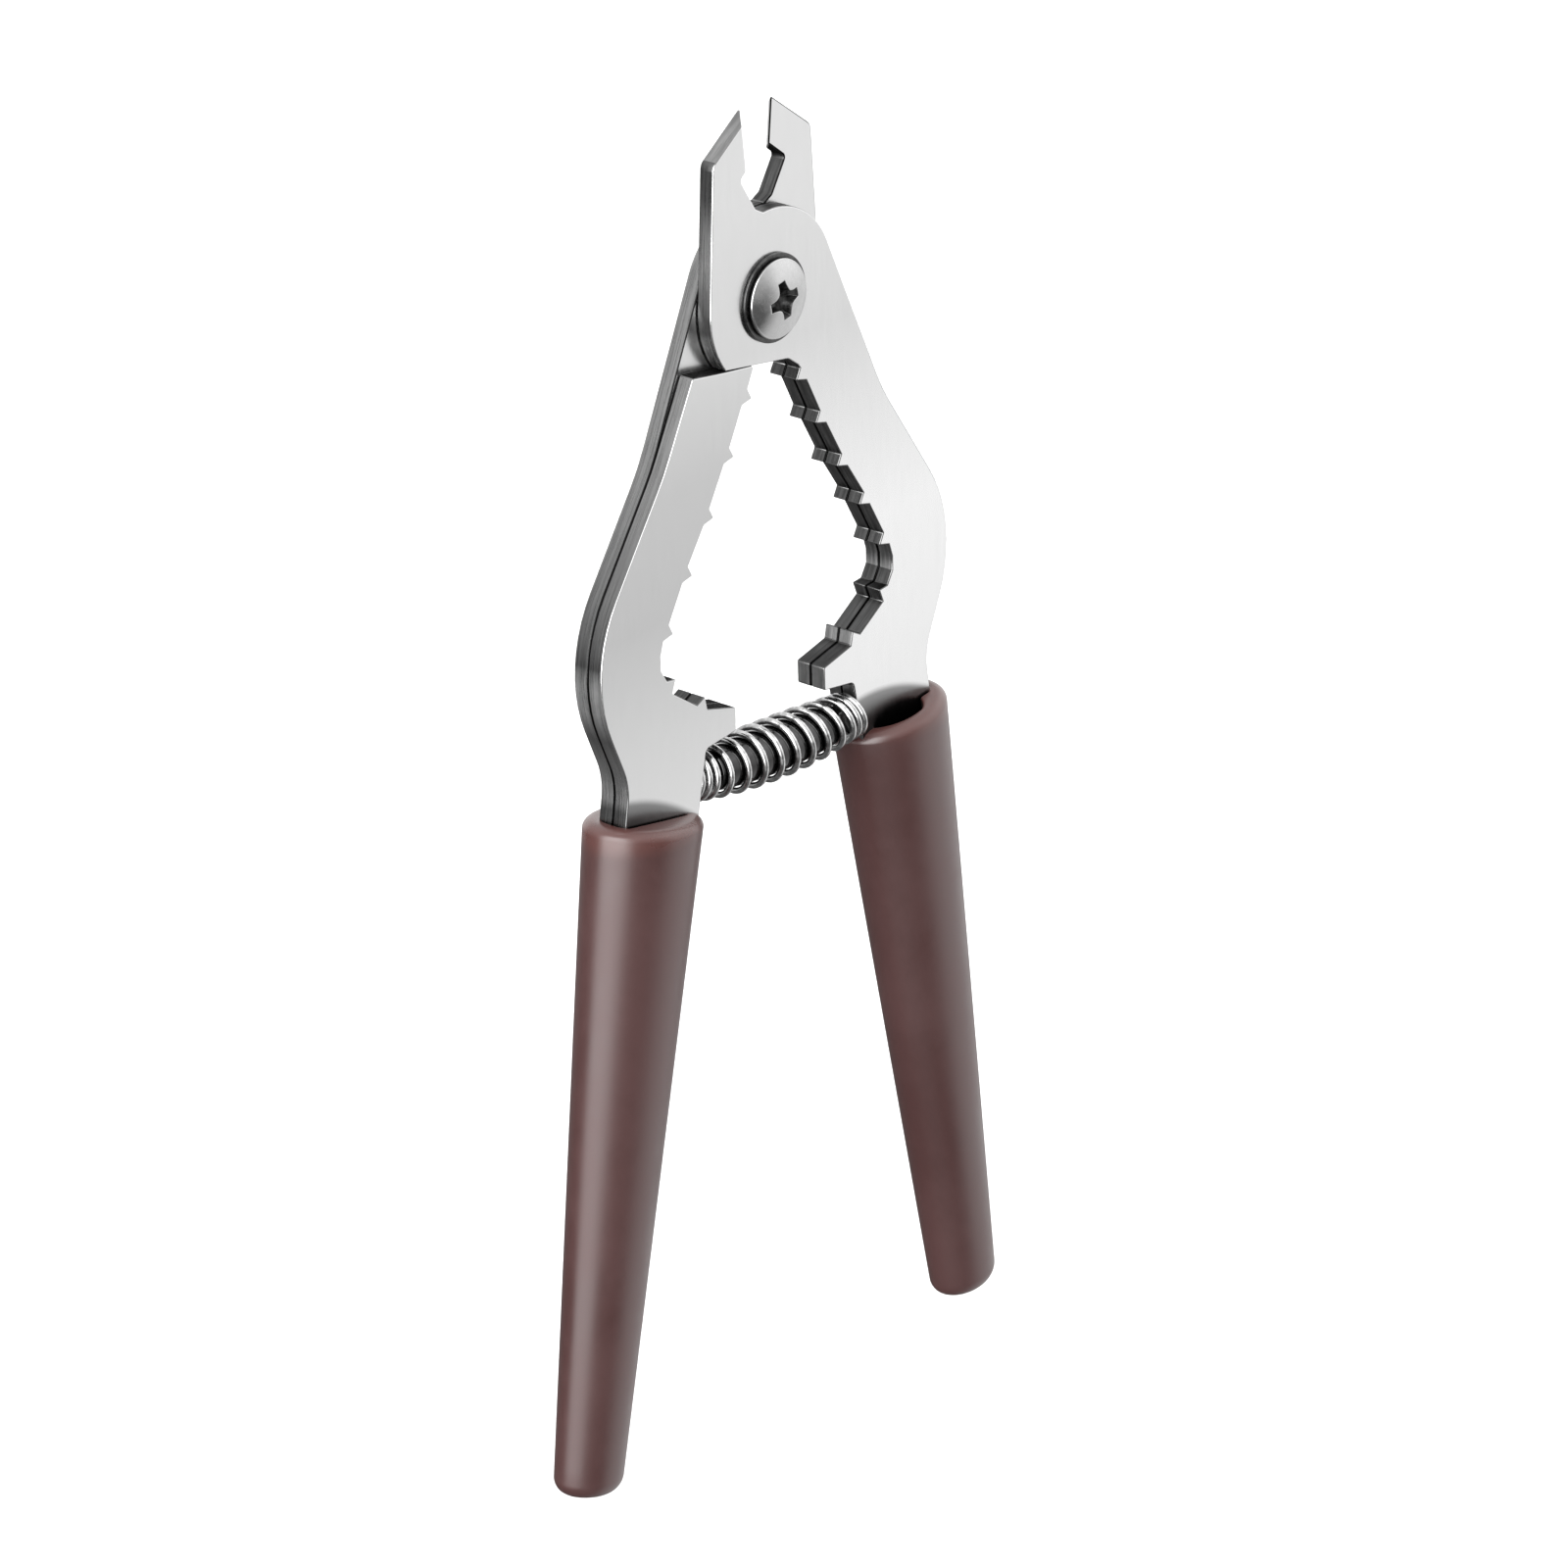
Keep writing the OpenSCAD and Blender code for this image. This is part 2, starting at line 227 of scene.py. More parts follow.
# Grain lines: two noises on a stretched vector, the fine one three times closer, as a value and a bump.
def makeGrainGroup():
    group, n, given, result = newGroup(
        "grainLines",
        [("Vector", "NodeSocketVector", None), ("Depth", "NodeSocketFloat", 0.00001),
         ("Strength", "NodeSocketFloat", 0.3)],
        [("Value", "NodeSocketFloat"), ("Normal", "NodeSocketVector")])
    coarse = n.add("ShaderNodeTexNoise", {"Vector": given["Vector"], "Scale": 1.0, "Detail": 3.0,
                                          "Roughness": 0.6}).outputs[0]
    fine = n.add("ShaderNodeTexNoise", {"Vector": given["Vector"], "Scale": 3.1, "Detail": 2.0,
                                        "Roughness": 0.6}).outputs[0]
    lines = n.ramp(n.math("ADD", n.math("MULTIPLY", coarse, 0.6), n.math("MULTIPLY", fine, 0.4)), 0.3, 0.7)
    bump = n.add("ShaderNodeBump", {"Height": lines, "Distance": given["Depth"],
                                    "Strength": given["Strength"]}).outputs[0]
    n.put(result.inputs["Value"], lines)
    n.put(result.inputs["Normal"], bump)
    return group

# Handling marks: broad soft patches broken up by a finer noise, as a mask from 0 to 1.
def makeHandlingGroup():
    group, n, given, result = newGroup(
        "handlingMarks",
        [("Vector", "NodeSocketVector", None), ("Size", "NodeSocketFloat", 60.0)],
        [("Mask", "NodeSocketFloat")])
    broad = n.add("ShaderNodeTexNoise", {"Vector": given["Vector"], "Scale": given["Size"],
                                         "Detail": 2.0}).outputs[0]
    broken = n.add("ShaderNodeTexNoise", {"Vector": given["Vector"], "Detail": 4.0, "Roughness": 0.65,
                                          "Scale": n.math("MULTIPLY", given["Size"], 7.0)}).outputs[0]
    n.put(result.inputs["Mask"], n.ramp(n.math("ADD", n.math("MULTIPLY", broad, 0.7),
                                               n.math("MULTIPLY", broken, 0.3)), 0.35, 0.65))
    return group

grainLines = makeGrainGroup()
handlingMarks = makeHandlingGroup()

def newMaterial(name):
    material = bpy.data.materials.new(name)
    material.use_nodes = True
    material.node_tree.nodes.clear()
    n = Nodes(material.node_tree)
    shader = n.add("ShaderNodeBsdfPrincipled")
    n.add("ShaderNodeOutputMaterial", {"Surface": shader.outputs[0]})
    return material, n, shader, n.add("ShaderNodeTexCoord").outputs["Object"]

def grey(value, warm=0.0):
    return (value * (1 + warm), value, value * (1 - warm), 1)


# steel finishes

# where each grip meets its arm: its lean in degrees, and its shoulder across and down from the pivot in mm
gripPlace = {"lean": 9, "across": 23.4, "down": 62.9}

# tone is the two base greys that the grain runs between and rough the roughness it runs between;
# grain is the lines per metre along x, y and z, and depth their depth in mm; marks and worn are
# the size and strength of the handling marks
groundFace = {"tone": (0.965, 1.0), "rough": (0.20, 0.25), "grain": (900, 900, 120), "depth": 0.002,
              "strength": 0.04, "marks": 45, "worn": 0.06}
cutEdge = {"tone": (0.75, 1.0), "rough": (0.22, 0.36), "grain": (70, 3600, 70), "depth": 0.02,
           "strength": 0.35, "marks": 120, "worn": 0.25, "paintedSeamShade": True}
cutTooth = {"rough": (0.26, 0.42), "grain": (120, 3000, 120), "depth": 0.02, "strength": 0.35,
            "marks": 160, "worn": 0.4, "paintedSeamShade": True, "grazingShadeTint": 0.15}
brightRim = {"tone": (0.90, 1.0), "rough": (0.16, 0.26), "grain": (900, 900, 900), "depth": 0.003,
             "strength": 0.1, "marks": 120, "worn": 0.2, "paintedSeamShade": True, "topShadeTone": 0.3}
turnedSteel = {"grain": (900, 300, 900), "depth": 0.006, "strength": 0.2, "marks": 150, "worn": 0.25}

# the height bands multiply the tone at heights in mm from the pivot: painted reflection and shade, bright and
# dark bands that stand in for the studio's reflections; the tang entry is the edge of a painted darker zone
# above a grip, the grip's dark reflection painted on the tang, a curve in the tang's own x and height in mm,
# height = top - fall * x - bend * x * x, on the right arm (side 1) or the left one (side -1)
steelSettings = {
    "rightFace": groundFace | {
        "paintedBands": ((-64, 0.77), (-34, 0.83), (-20, 0.74), (-6, 0.63), (14, 0.68), (26, 0.68)),
        "tang": {"side": 1, "top": 4.95, "fall": 0.407, "bend": 0.024}},
    "leftFace": groundFace | {
        "paintedBands": ((-64, 0.66), (-52, 0.61), (-36, 0.50), (-20, 0.53), (0, 0.67), (26, 0.69)),
        "tang": {"side": -1, "top": 3.80, "fall": 0.254, "bend": 0.019}},
    "leftEdge": cutEdge | {
        "paintedBands": ((-64, 0.13), (-59, 0.13), (-56, 0.75), (-49, 0.35), (-45, 1.0), (-42, 0.9), (-39, 0.13),
                  (-14, 0.29), (26, 0.29))},
    "rightEdge": cutEdge | {
        "paintedBands": ((-64, 0.2), (-9, 0.2), (-4, 0.9), (-2, 0.19), (0, 0.19), (7, 0.55), (15, 0.14),
                  (19, 0.12), (26, 0.25))},
    # painted shade: darker copies of the cut steel for the teeth and steps, the second near black for the
    # deepest shade
    "toothShadeEdge": cutTooth | {"tone": (0.18, 0.33)},
    "shadowEdge": cutTooth | {"tone": (0.05, 0.12)},
    "rightRim": brightRim | {"paintedBands": ((-64, 0.25), (-12, 0.25), (-4, 0.8), (26, 0.8))},
    "leftRim": brightRim | {"paintedBands": ((-64, 0.15), (-57, 0.15), (-53, 0.6), (0, 0.8), (8, 0.5), (26, 0.5))},
    "screwSteel": {"tone": (0.43, 0.50), "rough": (0.18, 0.26), "grain": (700, 700, 700), "depth": 0.004,
                   "strength": 0.1, "marks": 150, "worn": 0.2},
    # painted shade: near black for the washers under the head and the nut and for the screw head's side wall
    "washerShadeSteel": turnedSteel | {"tone": (0.06, 0.12), "rough": (0.25, 0.36)},
    # painted shade: the screw's cross recess, near black
    "recessShadeSteel": turnedSteel | {"tone": (0.03, 0.10), "rough": (0.40, 0.55), "grain": (900, 900, 900)},
    "nutSteel": turnedSteel | {"tone": (0.48, 0.62), "rough": (0.22, 0.36)},
}
# below the painted tang shade's edge the tone falls twice: from a depth, to a depth, in mm, and down to a tone
tangFades = ((-0.5, 0.7, 0.36), (-0.2, 4.0, 0.18))
seamHalf = 0.18 * mm          # half the width of the painted dark line of shade where two plates meet
seamTone = 0.03

# Painted reflection and shade: bright and dark bands of tone by height, standing in for the studio's
# reflections on the steel.
def steelPaintedBands(n, place, paintedBands):
    low, high = paintedBands[0][0] * mm + pivotHeight, paintedBands[-1][0] * mm + pivotHeight
    height = n.add("ShaderNodeSeparateXYZ", {0: place}).outputs[2]
    ramp = n.add("ShaderNodeValToRGB", {0: n.ramp(height, low, high, smooth=False)})
    stops = ramp.color_ramp.elements
    for level, value in paintedBands[1:-1]:
        stops.new((level - paintedBands[0][0]) / (paintedBands[-1][0] - paintedBands[0][0])).color = grey(value)
    stops[0].color, stops[-1].color = grey(paintedBands[0][1]), grey(paintedBands[-1][1])
    return ramp.outputs[0]

# Painted shade: the grip's dark reflection, painted on the tang above it. The curve less the height above the
# shoulder, both in the leaning tang's own directions, is the depth.
def shadeTang(n, place, s):
    a = math.radians(s["side"] * gripPlace["lean"])
    parts = n.add("ShaderNodeSeparateXYZ", {0: place}).outputs
    x = n.math("SUBTRACT", n.math("MULTIPLY", parts[0], 1 / mm), s["side"] * gripPlace["across"])
    z = n.math("SUBTRACT", n.math("MULTIPLY", parts[2], 1 / mm), pivotHeight / mm - gripPlace["down"])
    along = n.math("ADD", n.math("MULTIPLY", x, math.cos(a)), n.math("MULTIPLY", z, math.sin(a)))
    up = n.math("SUBTRACT", n.math("MULTIPLY", z, math.cos(a)), n.math("MULTIPLY", x, math.sin(a)))
    curve = n.math("SUBTRACT", s["top"], n.math("MULTIPLY", along, s["fall"]))
    curve = n.math("SUBTRACT", curve, n.math("MULTIPLY", n.math("MULTIPLY", along, along), s["bend"]))
    depth = n.math("SUBTRACT", curve, up)
    return n.math("MULTIPLY", *(n.ramp(depth, start, end, 1.0, tone) for start, end, tone in tangFades))

# Painted shade: a rim that faces up is darkened.
def shadeTop(n, tone):
    upward = n.add("ShaderNodeSeparateXYZ", {0: n.add("ShaderNodeTexCoord").outputs["Normal"]}).outputs[2]
    return n.ramp(upward, 0.2, 0.6, 1.0, tone)

# Painted shade: a dark line in the crease where two plates meet.
def shadeSeam(n, place):
    side = n.math("ABSOLUTE", n.add("ShaderNodeSeparateXYZ", {0: place}).outputs[1])
    return n.ramp(side, seamHalf, seamHalf * 1.25, seamTone, 1.0)

def makeSteel(name, s):
    material, n, shader, place = newMaterial(name)
    grain = n.add("ShaderNodeGroup", node_tree=grainLines)
    stretched = n.add("ShaderNodeMapping", {"Vector": place, "Scale": s["grain"]}).outputs[0]
    n.put(grain.inputs["Vector"], stretched)
    n.put(grain.inputs["Depth"], s["depth"] * mm)
    n.put(grain.inputs["Strength"], s["strength"])
    marks = n.add("ShaderNodeGroup", node_tree=handlingMarks)
    n.put(marks.inputs["Vector"], place)
    n.put(marks.inputs["Size"], float(s["marks"]))
    tone = n.mix(grain.outputs["Value"], grey(s["tone"][0]), grey(s["tone"][1]))
    tone = n.mix(n.math("MULTIPLY", marks.outputs["Mask"], s["worn"]), tone, grey(s["tone"][0] * 0.85))
    # painted reflection and shade: bright and dark bands by height
    if "paintedBands" in s:
        tone = n.multiply(tone, steelPaintedBands(n, place, s["paintedBands"]))
    # painted dark reflection of the grip on the tang
    if "tang" in s:
        tone = n.multiply(tone, shadeTang(n, place, s["tang"]))
    # painted shade on rims that face up
    if "topShadeTone" in s:
        tone = n.multiply(tone, shadeTop(n, s["topShadeTone"]))
    # painted shade along the seam between plates
    if "paintedSeamShade" in s:
        tone = n.multiply(tone, shadeSeam(n, place))
    rough = n.math("ADD", n.ramp(grain.outputs["Value"], 0, 1, *s["rough"]),
                   n.math("MULTIPLY", marks.outputs["Mask"], s["worn"] * 0.2))
    n.put(shader.inputs["Base Color"], tone)
    n.put(shader.inputs["Roughness"], rough)
    n.put(shader.inputs["Normal"], grain.outputs["Normal"])
    shader.inputs["Metallic"].default_value = 1.0
    if "grazingShadeTint" in s:
        shader.inputs["Specular Tint"].default_value = grey(s["grazingShadeTint"])     # painted shade: dark at a flat angle too
    return material

steel = {name: makeSteel(name, s) for name, s in steelSettings.items()}
print("steel finishes made")


# plates: the sheet with its sharp corners broken

plateSettings = {
    "frontJawPlate": {"node": "front_jaw_plate", "body": "right_arm"},
    "rightBackingPlate": {"node": "right_backing_plate", "body": "right_arm"},
    "rearJawPlate": {"node": "rear_jaw_plate", "body": "left_arm"},
    "leftFacingPlate": {"node": "left_facing_plate", "body": "left_arm"},
}
# width, rounds and least angle of a corner's bevel; the material of the bevel, or -1 for its neighbours'
brokenCorner = {"width": 0.16 * mm, "rounds": 2, "sharper": 32, "slot": 2}
mergeWithin = 0.002 * mm
flatWithin = math.radians(0.7)
edgeFacing = 0.3              # a face that looks less than this to the front or back is an edge

# A copy of a node with its loose triangles merged into flat faces and its sharp corners broken.
def brokenCopy(name, s, materials, corner):
    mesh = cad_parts[s["node"]].data.copy()
    mesh.name = name
    mesh.materials.clear()
    work = bmesh.new()
    work.from_mesh(mesh)
    bmesh.ops.remove_doubles(work, verts=work.verts, dist=mergeWithin)
    bmesh.ops.dissolve_limit(work, angle_limit=flatWithin, verts=work.verts, edges=work.edges)
    work.to_mesh(mesh)
    work.free()
    for material in materials:
        mesh.materials.append(material)
    normals = np.empty(len(mesh.polygons) * 3, np.float32)
    mesh.polygons.foreach_get("normal", normals)
    side = np.abs(normals.reshape(-1, 3)[:, 1]) < edgeFacing
    mesh.polygons.foreach_set("material_index", (side & (len(materials) > 1)).astype(np.int32))
    mesh.polygons.foreach_set("use_smooth", np.ones(len(mesh.polygons), bool))
    piece = bpy.data.objects.new(name, mesh)
    bpy.context.collection.objects.link(piece)
    bevel = piece.modifiers.new("brokenCorner", "BEVEL")
    bevel.width, bevel.segments = corner["width"], corner["rounds"]
    bevel.limit_method, bevel.angle_limit = "ANGLE", math.radians(corner["sharper"])
    bevel.use_clamp_overlap = False
    bevel.material = corner["slot"]
    flat = piece.modifiers.new("flatFaces", "WEIGHTED_NORMAL")      # keeps the broad faces truly flat
    flat.weight = 100
    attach(piece, s["body"])
    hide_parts(s["node"])
    return piece

# Sides are toothed where they face the opening below the screw or the gap above it; these sides and the steps
# that look up get painted shade, darker copies of the steel, the deepest a near-black one.
toothSettings = {
    "clear": 8 * mm,          # no teeth this near the screw
    "stepClear": 4 * mm,      # nor steps this near it
    "stepUp": 0.8,            # a step looks up at least this much
    "inward": -0.3,           # a toothed side looks inwards at least this much
    "shadowUp": 0.4,            # below the screw, the upper flanks get the deeper painted shadow
    "shadowInward": 0.3,        # above it, those that look straight in
    "slots": (3, 4),          # materials of the plain painted shade and the deeper painted shadow
}

def darkenTeeth(plate, body, s):
    sign = 1 if body == "right_arm" else -1
    for face in plate.data.polygons:
        if abs(face.normal.y) > edgeFacing:
            continue
        height = face.center.z - pivotHeight
        inward = -sign * face.normal.x if height < 0 else sign * face.normal.x
        stepped = abs(height) > s["stepClear"] and face.normal.z > s["stepUp"]
        if stepped or (abs(height) > s["clear"] and inward > s["inward"]):
            shadowed = face.normal.z > s["shadowUp"] if height < 0 else inward > s["shadowInward"]
            face.material_index = s["slots"][shadowed]

for name, s in plateSettings.items():
    hand = s["body"].split("_")[0]
    finishes = [steel[hand + "Face"], steel[hand + "Edge"], steel[hand + "Rim"], steel["toothShadeEdge"],
                steel["shadowEdge"]]
    plate = brokenCopy(name, s, finishes, brokenCorner)
    darkenTeeth(plate, s["body"], toothSettings)
print("plates made")


# meshes from grids

# Quads of a grid of closed rings, each ring joined to the next.
def gridFaces(rings, sides):
    i, j = np.meshgrid(np.arange(rings - 1), np.arange(sides), indexing="ij")
    k = (j + 1) % sides
    corners = [i * sides + j, i * sides + k, (i + 1) * sides + k, (i + 1) * sides + j]
    return np.stack(corners, -1).reshape(-1, 4)

# An object from points[ring, side, xyz] and faces, smooth, with its normals turned outwards.
def pieceFrom(name, points, faces, materials):
    mesh = bpy.data.meshes.new(name)
    mesh.from_pydata(points.reshape(-1, 3).tolist(), [], faces)
    mesh.polygons.foreach_set("use_smooth", np.ones(len(faces), bool))
    for material in materials:
        mesh.materials.append(material)
    work = bmesh.new()
    work.from_mesh(mesh)
    bmesh.ops.recalc_face_normals(work, faces=work.faces)
    work.to_mesh(mesh)
    work.free()
    piece = bpy.data.objects.new(name, mesh)
    bpy.context.collection.objects.link(piece)
    return piece

# A closed piece of rings; the first and last rings are each closed by one face.
def ringMesh(name, points, materials):
    rings, sides = points.shape[:2]
    faces = gridFaces(rings, sides).tolist()
    faces.append(list(range(sides - 1, -1, -1)))
    faces.append(list(range((rings - 1) * sides, rings * sides)))
    return pieceFrom(name, points, faces, materials)

# Points at even angles, in degrees, on an arc about a centre.
def arcPoints(centre, radius, start, end, count):
    a = np.radians(np.linspace(start, end, count))
    return np.stack([centre[0] + radius * np.cos(a), centre[1] + radius * np.sin(a)], 1)


# grips

gripSettings = {
    "length": 88,
    "topRadius": 8.6, "endRadius": 5.1, "oval": 0.756, "endRound": 2.2,
    "lipHeight": 1.3, "lipWidth": 1.9,
    "pocketCentre": -0.9, "pocketRadius": 5.0, "pocketDepth": 9, "pocketRound": 0.25,
    "slot": (-7.85, 6.0, 2.5),       # the tang's slot: its two ends and its half depth
    "sides": 224,
}

# Rings carried up the grip: end round, taper, lip, flat shoulder, then down into the pocket.
# Outside, a ring is an oval of the profile's radius. The pocket's edge is the farther of a round
# hollow in front and the tang's slot, kept inside the shoulder.
def gripPoints(s):
    a = np.linspace(0, 2 * np.pi, s["sides"], endpoint=False)
    c, d = np.cos(a), np.sin(a)
    inner = s["endRadius"] - s["endRound"]
    low = arcPoints((inner, -s["length"] + s["endRound"]), s["endRound"], -90, -4, 12)
    start = np.array([[inner * 0.5, -s["length"]]])
    rise = np.linspace(0, 1, 40)[1:-1, None]
    taper = low[-1] + (np.array([s["topRadius"], 0]) - low[-1]) * rise
    t = np.radians(np.linspace(0, 90, 12))
    lip = np.stack([s["topRadius"] - s["lipWidth"] + s["lipWidth"] * np.cos(t), s["lipHeight"] * np.sin(t)], 1)
    profile = np.concatenate([start, low, taper, lip])
    hub = s["pocketCentre"]
    slotLeft, slotRight, slotDeep = s["slot"]

    # along the ray from the hub to the oval of this radius
    def toOval(radius):
        qa, qb, qc = c ** 2 + (d / s["oval"]) ** 2, hub * c, hub ** 2 - radius ** 2
        return (-qb + np.sqrt(qb ** 2 - qa * qc)) / qa

    outside = np.array([np.stack([hub + toOval(radius) * c, toOval(radius) * d, np.full(len(a), z)], -1)
                        for radius, z in profile])
    toSide = np.where(c > 0, (slotRight - hub) / np.maximum(c, 1e-9), (slotLeft - hub) / np.minimum(c, -1e-9))
    toSlot = np.minimum(toSide, slotDeep / np.maximum(np.abs(d), 1e-9))
    toRound = np.where(d < 0, s["pocketRadius"], 0)
    shoulder = toOval(s["topRadius"] - s["lipWidth"])
    reach = np.minimum(np.maximum(toSlot, toRound), shoulder - 2 * s["pocketRound"])
    r = s["pocketRound"]
    depth = s["pocketDepth"]
    steps = np.array([[r * 1.6, 0.0], [r, 0.0], [r * 0.6, -r * 0.08], [r * 0.29, -r * 0.29],
                      [r * 0.08, -r * 0.6], [0, -r], [0, -depth * 0.5], [0, -depth]])
    walls = [np.stack([hub + (reach + grow) * c, (reach + grow) * d,
                       np.full(len(a), s["lipHeight"] + drop)], -1) for grow, drop in steps]
    bottom = np.stack([hub + reach * 0.3 * c, reach * 0.3 * d,
                       np.full(len(a), s["lipHeight"] - depth)], -1)
    return np.concatenate([outside, np.array(walls), bottom[None]])

# Leans the grip outwards and moves its shoulder to the tang, in metres.
def placeGrip(points, s):
    a = math.radians(s["lean"])
    x, y, z = points[..., 0], points[..., 1], points[..., 2]
    return np.stack([x * math.cos(a) - z * math.sin(a) + s["across"], y,
                     x * math.sin(a) + z * math.cos(a) + pivotHeight / mm - s["down"]], -1) * mm

plasticSettings = {
    "base": (0.040, 0.014, 0.013, 1), "warmer": (0.048, 0.017, 0.016, 1), "rim": (0.066, 0.021, 0.017, 1),
    "rimShare": 0.7, "rimShine": 0.06, "rimFrom": -1.6, "rimTo": 0.6,      # mm from the shoulder's height
    "rough": (0.32, 0.40), "shine": 0.8, "marks": 55.0,
    "pores": 5200.0, "poreDepth": 0.02, "poreStrength": 0.35,
}

def makeGripPlastic(s):
    material, n, shader, place = newMaterial("gripPlastic")
    marks = n.add("ShaderNodeGroup", node_tree=handlingMarks)
    n.put(marks.inputs["Vector"], place)
    n.put(marks.inputs["Size"], s["marks"])
    pores = n.add("ShaderNodeTexNoise", {"Vector": place, "Scale": s["pores"], "Detail": 2.0}).outputs[0]
    bump = n.add("ShaderNodeBump", {"Height": pores, "Distance": s["poreDepth"] * mm,
                                    "Strength": s["poreStrength"]}).outputs[0]
    height = n.add("ShaderNodeSeparateXYZ", {0: place}).outputs[2]
    shoulder = pivotHeight - gripPlace["down"] * mm
    nearRim = n.ramp(height, shoulder + s["rimFrom"] * mm, shoulder + s["rimTo"] * mm)
    colour = n.mix(marks.outputs["Mask"], s["base"], s["warmer"])
    colour = n.mix(n.math("MULTIPLY", nearRim, s["rimShare"]), colour, s["rim"])
    n.put(shader.inputs["Base Color"], colour)
    rough = n.ramp(marks.outputs["Mask"], 0, 1, *s["rough"])
    n.put(shader.inputs["Roughness"], n.math("SUBTRACT", rough, n.math("MULTIPLY", nearRim, s["rimShine"])))
    n.put(shader.inputs["Normal"], bump)
    shader.inputs["Specular IOR Level"].default_value = s["shine"]
    return material

# Painted shade: near-black plastic for the walls and bottom of the grip's pocket, where shade falls inside.
def makePocketShadePlastic():
    material, n, shader, place = newMaterial("pocketShadePlastic")
    cloud = n.add("ShaderNodeTexNoise", {"Vector": place, "Scale": 500.0, "Detail": 3.0}).outputs[0]
    n.put(shader.inputs["Base Color"], n.mix(cloud, (0.004, 0.002, 0.002, 1), (0.010, 0.006, 0.006, 1)))
    n.put(shader.inputs["Roughness"], n.ramp(cloud, 0.3, 0.7, 0.6, 0.75))
    shader.inputs["Specular IOR Level"].default_value = 0.2
    return material

gripPlastic, pocketShadePlastic = makeGripPlastic(plasticSettings), makePocketShadePlastic()
gripShape = placeGrip(gripPoints(gripSettings), gripPlace)
grips = (("rightGrip", "right_grip", "right_arm", 1), ("leftGrip", "left_grip", "left_arm", -1))
for name, node, body, turn in grips:
    grip = ringMesh(name, gripShape * np.array([turn, turn, 1]), [gripPlastic, pocketShadePlastic])
    pocketShade = np.zeros(len(grip.data.polygons), np.int32)
    pocketShade[-3 * gripSettings["sides"] - 2:] = 1       # the pocket's walls, in painted shade, and the faces that close the mesh, of which the first is the grip's far end
    pocketShade[-2] = 0                                    # of which the first is the grip's far end
    grip.data.polygons.foreach_set("material_index", pocketShade)
    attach(grip, body)
    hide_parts(node)
print("grips made")


# pivot screw, washers and lock nut

faceDepth = 2.25
washerThick = 0.5
screwSettings = {
    "headRadius": 5.05, "rim": 0.55, "dome": 1.2, "rimRound": 0.2,
    "recessTip": 2.45, "recessCorner": 1.42, "recessArm": 0.46, "recessDepth": 1.35, "recessTurn": 12,
    "shank": 3.0, "shankLength": 9.2, "sides": 288,
    "recessRings": (0, 6), "wallRings": (34, 37),       # the rings that bound the recess and the head's wall, both in painted shade
}

# How far a cross recess reaches at an angle: the nearer of its blunt tip and its flank, which is the
# point on the ray where the distances beyond an arm's half width to both axes multiply to a constant.
def crossReach(angle, tip, corner, arm):
    c, d = np.abs(np.cos(angle)), np.abs(np.sin(angle))
    spread = c + d
    both = np.maximum(c * d, 1e-6)
    m = (corner / math.sqrt(2) - arm) ** 2
    flank = (arm * spread + np.sqrt(arm ** 2 * spread ** 2 - 4 * both * (arm ** 2 - m))) / (2 * both)
    return np.minimum(flank, tip / np.maximum(c, d))

# Rings from the bottom of the recess, up its walls, over the dome, down the rim and along the shank.
def screwPoints(s):
    a = np.linspace(0, 2 * np.pi, s["sides"], endpoint=False)
    edge = crossReach(a, s["recessTip"], s["recessCorner"], s["recessArm"])
    curve = lambda r: s["rim"] + s["dome"] * (1 - (r / s["headRadius"]) ** 2)
    wall = ((0.12, 1.3), (0.45, 1.12), (0.74, 1.0), (0.8, 0.93),
            (0.93, 0.22), (0.97, 0.08), (1.0, 0.02), (1.05, 0))
    rings = [(edge * share, curve(edge * share) - drop * s["recessDepth"]) for share, drop in wall]
    domeEdge = s["headRadius"] - s["rimRound"]
    for t in np.linspace(0, 1, 22)[1:]:
        r = edge * 1.05 + (domeEdge - edge * 1.05) * t
        rings.append((r, curve(r)))
    top = curve(domeEdge)
    for b in np.radians(np.linspace(70, 0, 6)):
        rings.append((domeEdge + s["rimRound"] * np.cos(b), top - s["rimRound"] * (1 - np.sin(b))))
    head, shank, end = s["headRadius"], s["shank"], -s["shankLength"]
    rings += [(head, 0.2), (head - 0.15, 0.03), (head - 0.4, 0),
              (shank, 0), (shank, end + 0.4), (shank - 0.12, end + 0.12), (shank - 0.4, end)]
    r = np.array([np.broadcast_to(q[0], a.shape) for q in rings])
    z = np.array([np.broadcast_to(q[1], a.shape) for q in rings])
    turned = a + math.radians(s["recessTurn"])
    return onPivot(np.stack([r * np.cos(turned), r * np.sin(turned), z], -1), -faceDepth - washerThick)

# Turns a shape whose axis is its own z to point to the front from this depth on the pivot, in metres.
def onPivot(points, depth):
    x, y, z = points[..., 0], points[..., 1], points[..., 2]
    return np.stack([x, depth - z, y + pivotHeight / mm], -1) * mm

screwFinishes = [steel["screwSteel"], steel["recessShadeSteel"], steel["washerShadeSteel"]]
screw = ringMesh("pivotScrew", screwPoints(screwSettings), screwFinishes)
finish = np.zeros(len(screw.data.polygons), np.int32)
# the recess and the head's wall take the painted shade finishes
for slot, (first, last) in ((1, screwSettings["recessRings"]), (2, screwSettings["wallRings"])):
    finish[first * screwSettings["sides"]:last * screwSettings["sides"]] = slot
finish[-2] = 1                                         # the bottom of the recess, in painted shade too
screw.data.polygons.foreach_set("material_index", finish)
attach(screw, "right_arm")
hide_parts("pivot_screw")

